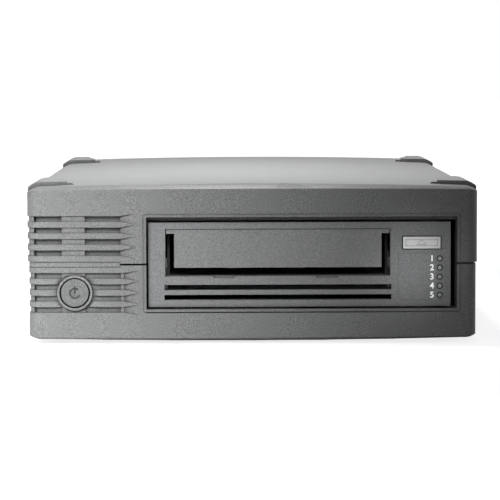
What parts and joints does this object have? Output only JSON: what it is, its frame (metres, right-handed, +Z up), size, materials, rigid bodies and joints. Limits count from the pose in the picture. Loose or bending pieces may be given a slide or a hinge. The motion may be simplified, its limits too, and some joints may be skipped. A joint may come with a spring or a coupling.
{
  "type": "external data tape drive",
  "caption": "Desktop tape drive: two-part grey moulded housing with wrap-round vents, recessed drive bezel, swinging cartridge door, eject and power buttons, loader, reels, head and rear fan.",
  "frame": {"origin": "centre of the footprint on the plane the feet stand on", "axes": "+X to the right seen from the front, +Y from the front to the rear, +Z up"},
  "size_m": [0.2206, 0.33, 0.0792],
  "materials": {
    "housing_grey": "fine spark-eroded texture",
    "bezel_grey": "fine texture",
    "button_grey": "satin",
    "light_grey_plastic": "satin",
    "black_plastic": "satin",
    "foot_rubber": "matt",
    "zinc_steel": "zinc plated sheet",
    "cast_aluminium": "as cast",
    "circuit_board": "solder mask",
    "brass": "plated",
    "screw_steel": "black oxide",
    "clear_pipe": "clear acrylic",
    "white_plastic": "acetal"
  },
  "bodies": {
    "housing": {"upper_housing": "housing_grey", "lower_housing": "housing_grey", "rubber_feet": "foot_rubber", "housing_screws": "screw_steel", "vent_baffle": "bezel_grey", "power_switch": "black_plastic", "power_board": "circuit_board", "drive_chassis": "cast_aluminium", "drive_lid": "zinc_steel", "drive_bezel": "bezel_grey", "eject_switch": "black_plastic", "light_pipes": "clear_pipe", "front_board": "circuit_board", "main_board": "circuit_board", "gear_plate": "zinc_steel", "load_axle": "screw_steel", "load_motor": "zinc_steel", "supply_motor": "black_plastic", "takeup_motor": "black_plastic", "roller_posts": "screw_steel", "head_rods": "screw_steel", "head_stepper": "zinc_steel", "drive_cradle": "zinc_steel", "drive_screws": "screw_steel", "cradle_posts": "brass", "supply_case": "zinc_steel", "supply_cover": "zinc_steel", "supply_board": "circuit_board", "rear_panel": "zinc_steel", "mains_inlet": "black_plastic", "inlet_pins": "brass", "fan_guard": "zinc_steel", "fan_screws": "screw_steel", "fan_frame": "black_plastic", "data_ports": "zinc_steel", "port_board": "circuit_board"},
    "power_button": {"power_button": "housing_grey"},
    "cartridge_door": {"cartridge_door": "bezel_grey"},
    "eject_button": {"eject_button": "button_grey"},
    "load_slider": {"load_slider": "zinc_steel"},
    "cartridge_tray": {"cartridge_tray": "zinc_steel"},
    "load_gear": {"load_gear": "white_plastic"},
    "load_motor_gear": {"load_motor_gear": "brass"},
    "supply_hub": {"supply_hub": "light_grey_plastic"},
    "takeup_reel": {"takeup_reel": "white_plastic"},
    "tape_roller_1": {"tape_roller_1": "cast_aluminium"},
    "tape_roller_2": {"tape_roller_2": "cast_aluminium"},
    "tape_roller_3": {"tape_roller_3": "cast_aluminium"},
    "tape_roller_4": {"tape_roller_4": "cast_aluminium"},
    "head_lead_screw": {"head_lead_screw": "screw_steel"},
    "fan_rotor": {"fan_rotor": "black_plastic"},
    "head_carriage": {"head_carriage": "cast_aluminium", "tape_head": "black_plastic"}
  },
  "joints": [
    {"name": "power_button_press", "type": "slide", "parent": "housing", "child": "power_button", "axis": [0, 1, 0], "range_m": [0, 0.0015], "stiffness_N_per_m": 800, "springref_m": -0.001},
    {"name": "eject_button_press", "type": "slide", "parent": "housing", "child": "eject_button", "axis": [0, 1, 0], "range_m": [0, 0.0012], "stiffness_N_per_m": 800, "springref_m": -0.001},
    {"name": "cartridge_door_swing", "type": "hinge", "parent": "housing", "child": "cartridge_door", "pos_m": [0.0124, -0.1577, 0.0572], "axis": [1, 0, 0], "range_deg": [0, 85], "stiffness_Nm_per_rad": 0.002, "springref_deg": -20.05},
    {"name": "load_slider_travel", "type": "slide", "parent": "housing", "child": "load_slider", "axis": [0, 1, 0], "range_m": [0, 0.016]},
    {"name": "cartridge_tray_drop", "type": "slide", "parent": "housing", "child": "cartridge_tray", "axis": [0, 0, -1], "range_m": [0, 0.003]},
    {"name": "load_gear_turn", "type": "hinge", "parent": "housing", "child": "load_gear", "pos_m": [0.0694, -0.116, 0.04835], "axis": [1, 0, 0], "range_deg": [0, 153]},
    {"name": "load_motor_turn", "type": "hinge", "parent": "housing", "child": "load_motor_gear", "pos_m": [0.0694, -0.128, 0.04835], "axis": [1, 0, 0], "range_deg": [-459, 0]},
    {"name": "supply_hub_spin", "type": "hinge", "parent": "housing", "child": "supply_hub", "pos_m": [0.0066, -0.103, 0.026], "axis": [0, 0, 1], "continuous": true},
    {"name": "takeup_reel_spin", "type": "hinge", "parent": "housing", "child": "takeup_reel", "pos_m": [0.0124, 0.001, 0.026], "axis": [0, 0, 1], "continuous": true},
    {"name": "tape_roller_1_spin", "type": "hinge", "parent": "housing", "child": "tape_roller_1", "pos_m": [0.082, -0.042, 0.026], "axis": [0, 0, 1], "continuous": true},
    {"name": "tape_roller_2_spin", "type": "hinge", "parent": "housing", "child": "tape_roller_2", "pos_m": [0.082, -0.028, 0.026], "axis": [0, 0, 1], "continuous": true},
    {"name": "tape_roller_3_spin", "type": "hinge", "parent": "housing", "child": "tape_roller_3", "pos_m": [0.082, 0.006, 0.026], "axis": [0, 0, 1], "continuous": true},
    {"name": "tape_roller_4_spin", "type": "hinge", "parent": "housing", "child": "tape_roller_4", "pos_m": [0.082, 0.02, 0.026], "axis": [0, 0, 1], "continuous": true},
    {"name": "head_carriage_travel", "type": "slide", "parent": "housing", "child": "head_carriage", "axis": [0, 0, 1], "range_m": [-0.0015, 0.0015]},
    {"name": "head_lead_screw_turn", "type": "hinge", "parent": "housing", "child": "head_lead_screw", "pos_m": [0.0685, -0.011, 0.026], "axis": [0, 0, 1], "range_deg": [-541, 541]},
    {"name": "fan_rotor_spin", "type": "hinge", "parent": "housing", "child": "fan_rotor", "pos_m": [0.002, 0.1542, 0.0401], "axis": [0, 1, 0], "continuous": true}
  ],
  "couplings": [
    {"joint": "cartridge_tray_drop", "follows": "load_slider_travel", "ratio": 0.1875},
    {"joint": "load_gear_turn", "follows": "load_slider_travel", "rad_per_m": 166.67},
    {"joint": "load_motor_turn", "follows": "load_slider_travel", "rad_per_m": -500},
    {"joint": "head_lead_screw_turn", "follows": "head_carriage_travel", "rad_per_m": 6283.2}
  ]
}
